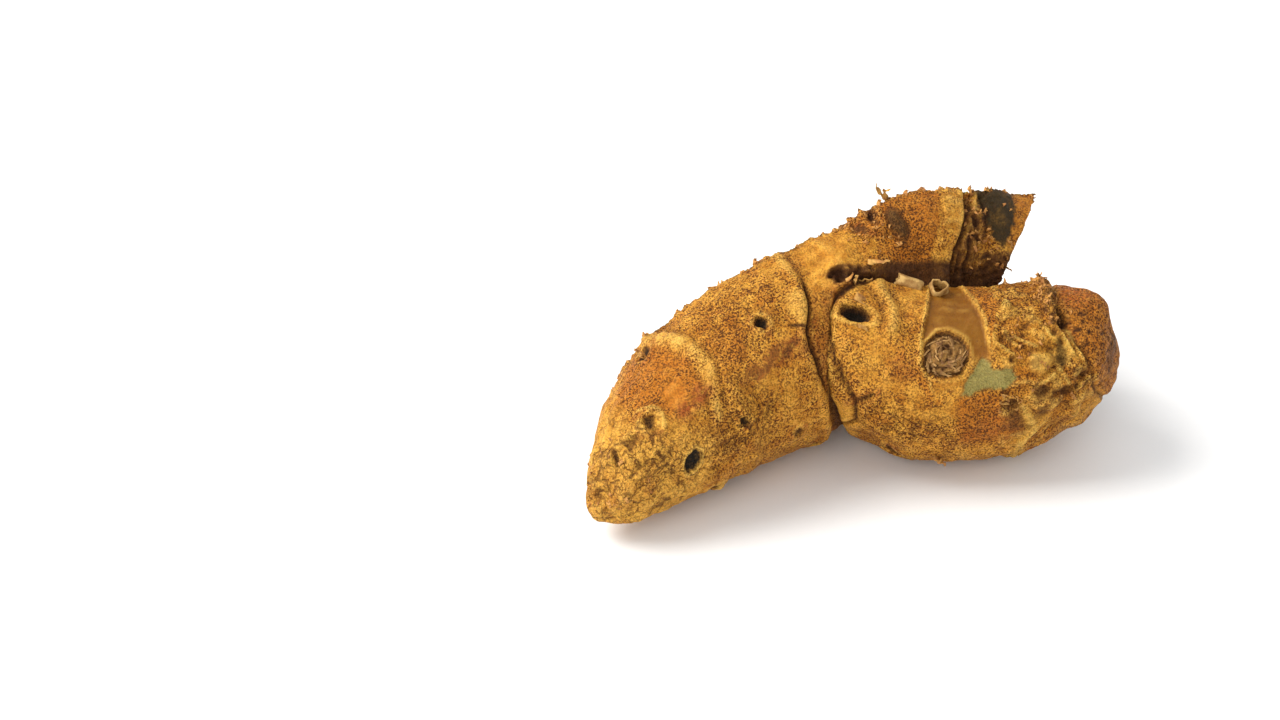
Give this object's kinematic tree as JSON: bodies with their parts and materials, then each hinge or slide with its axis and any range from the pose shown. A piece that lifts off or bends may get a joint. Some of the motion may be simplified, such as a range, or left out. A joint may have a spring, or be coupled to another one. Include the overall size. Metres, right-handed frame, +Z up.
{
  "type": "galangal root half",
  "caption": "Fresh galangal rhizome cut lengthwise: a jointed main finger with a flat cut back and a stout side lobe, lying on its skin side.",
  "frame": {"origin": "bottom centre of the bounding box, on the surface the piece lies on", "axes": "+Z up, +X along the longest side of the bounding box towards the young end of the side lobe, +Y towards the cut face"},
  "size_m": [0.0824, 0.0542, 0.0358],
  "materials": {
    "skin": "matte golden tan rind with brown speckles and pale leaf-scar rings, and yellow-green flesh on the cut face"
  },
  "bodies": {
    "root": {"rhizome": "skin"}
  },
  "joints": []
}
